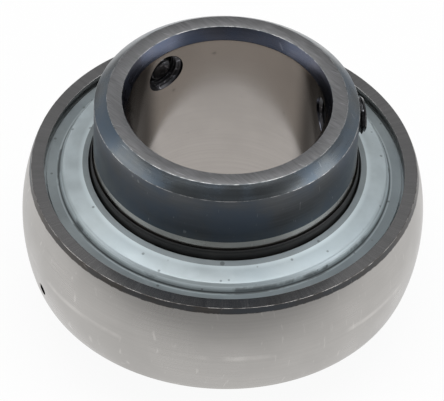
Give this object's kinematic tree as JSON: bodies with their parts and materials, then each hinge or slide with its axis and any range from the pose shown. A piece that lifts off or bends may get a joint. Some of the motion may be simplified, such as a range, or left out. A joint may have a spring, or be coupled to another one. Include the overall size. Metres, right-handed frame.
{
  "type": "insert bearing",
  "caption": "Sealed radial insert ball bearing with a spherical outer ring and a wide inner ring that hexagon socket grub screws lock to a shaft.",
  "frame": {"origin": "centre of the outer ring's sphere and of the ball row, on the shaft's axis", "axes": "+Z along the shaft's axis, towards the inner ring's longer end with the grub screws; grub screw 1 points 11 degrees from +X towards +Y"},
  "size_m": [0.052, 0.052, 0.0341],
  "materials": {
    "ground_steel": "ground bright on the sphere, darker on the side faces",
    "dark_steel": "blackened, with ground bore, end face and seal land",
    "ball_steel": "polished",
    "zinc_plate": "satin zinc coat",
    "black_rubber": "matt",
    "cage_nylon": "moulded",
    "black_screw": "black oxide"
  },
  "bodies": {
    "outer_ring": {"outer_ring": "ground_steel", "top_outer_washer": "zinc_plate", "top_inner_washer": "zinc_plate", "top_seal_lip": "black_rubber", "bottom_outer_washer": "zinc_plate", "bottom_inner_washer": "zinc_plate", "bottom_seal_lip": "black_rubber"},
    "inner_ring": {"inner_ring": "dark_steel"},
    "ball_cage": {"ball_cage": "cage_nylon"},
    "ball_1": {"ball_1": "ball_steel"},
    "ball_2": {"ball_2": "ball_steel"},
    "ball_3": {"ball_3": "ball_steel"},
    "ball_4": {"ball_4": "ball_steel"},
    "ball_5": {"ball_5": "ball_steel"},
    "ball_6": {"ball_6": "ball_steel"},
    "ball_7": {"ball_7": "ball_steel"},
    "ball_8": {"ball_8": "ball_steel"},
    "ball_9": {"ball_9": "ball_steel"},
    "grub_screw_1": {"grub_screw_1": "black_screw"},
    "grub_screw_2": {"grub_screw_2": "black_screw"}
  },
  "joints": [
    {"name": "bearing_spin", "type": "hinge", "parent": "outer_ring", "child": "inner_ring", "pos_m": [0, 0, 0], "axis": [0, 0, 1], "continuous": true},
    {"name": "cage_spin", "type": "hinge", "parent": "outer_ring", "child": "ball_cage", "pos_m": [0, 0, 0], "axis": [0, 0, 1], "continuous": true},
    {"name": "ball_1_spin", "type": "hinge", "parent": "ball_cage", "child": "ball_1", "pos_m": [0.01925, 0, 0], "axis": [0, 0, 1], "continuous": true},
    {"name": "ball_2_spin", "type": "hinge", "parent": "ball_cage", "child": "ball_2", "pos_m": [0.01475, 0.01237, 0], "axis": [0, 0, 1], "continuous": true},
    {"name": "ball_3_spin", "type": "hinge", "parent": "ball_cage", "child": "ball_3", "pos_m": [0.00334, 0.01896, 0], "axis": [0, 0, 1], "continuous": true},
    {"name": "ball_4_spin", "type": "hinge", "parent": "ball_cage", "child": "ball_4", "pos_m": [-0.00962, 0.01667, 0], "axis": [0, 0, 1], "continuous": true},
    {"name": "ball_5_spin", "type": "hinge", "parent": "ball_cage", "child": "ball_5", "pos_m": [-0.01809, 0.00658, 0], "axis": [0, 0, 1], "continuous": true},
    {"name": "ball_6_spin", "type": "hinge", "parent": "ball_cage", "child": "ball_6", "pos_m": [-0.01809, -0.00658, 0], "axis": [0, 0, 1], "continuous": true},
    {"name": "ball_7_spin", "type": "hinge", "parent": "ball_cage", "child": "ball_7", "pos_m": [-0.00962, -0.01667, 0], "axis": [0, 0, 1], "continuous": true},
    {"name": "ball_8_spin", "type": "hinge", "parent": "ball_cage", "child": "ball_8", "pos_m": [0.00334, -0.01896, 0], "axis": [0, 0, 1], "continuous": true},
    {"name": "ball_9_spin", "type": "hinge", "parent": "ball_cage", "child": "ball_9", "pos_m": [0.01475, -0.01237, 0], "axis": [0, 0, 1], "continuous": true},
    {"name": "grub_screw_1_travel", "type": "slide", "parent": "inner_ring", "child": "grub_screw_1", "axis": [0.9816, 0.1908, 0], "range_m": [-0.001, 0.0015]},
    {"name": "grub_screw_2_travel", "type": "slide", "parent": "inner_ring", "child": "grub_screw_2", "axis": [-0.6561, 0.7547, 0], "range_m": [-0.001, 0.0015]}
  ],
  "couplings": [
    {"joint": "cage_spin", "follows": "bearing_spin", "ratio": 0.39691},
    {"joint": "ball_1_spin", "follows": "bearing_spin", "ratio": -2.322},
    {"joint": "ball_2_spin", "follows": "bearing_spin", "ratio": -2.322},
    {"joint": "ball_3_spin", "follows": "bearing_spin", "ratio": -2.322},
    {"joint": "ball_4_spin", "follows": "bearing_spin", "ratio": -2.322},
    {"joint": "ball_5_spin", "follows": "bearing_spin", "ratio": -2.322},
    {"joint": "ball_6_spin", "follows": "bearing_spin", "ratio": -2.322},
    {"joint": "ball_7_spin", "follows": "bearing_spin", "ratio": -2.322},
    {"joint": "ball_8_spin", "follows": "bearing_spin", "ratio": -2.322},
    {"joint": "ball_9_spin", "follows": "bearing_spin", "ratio": -2.322}
  ]
}
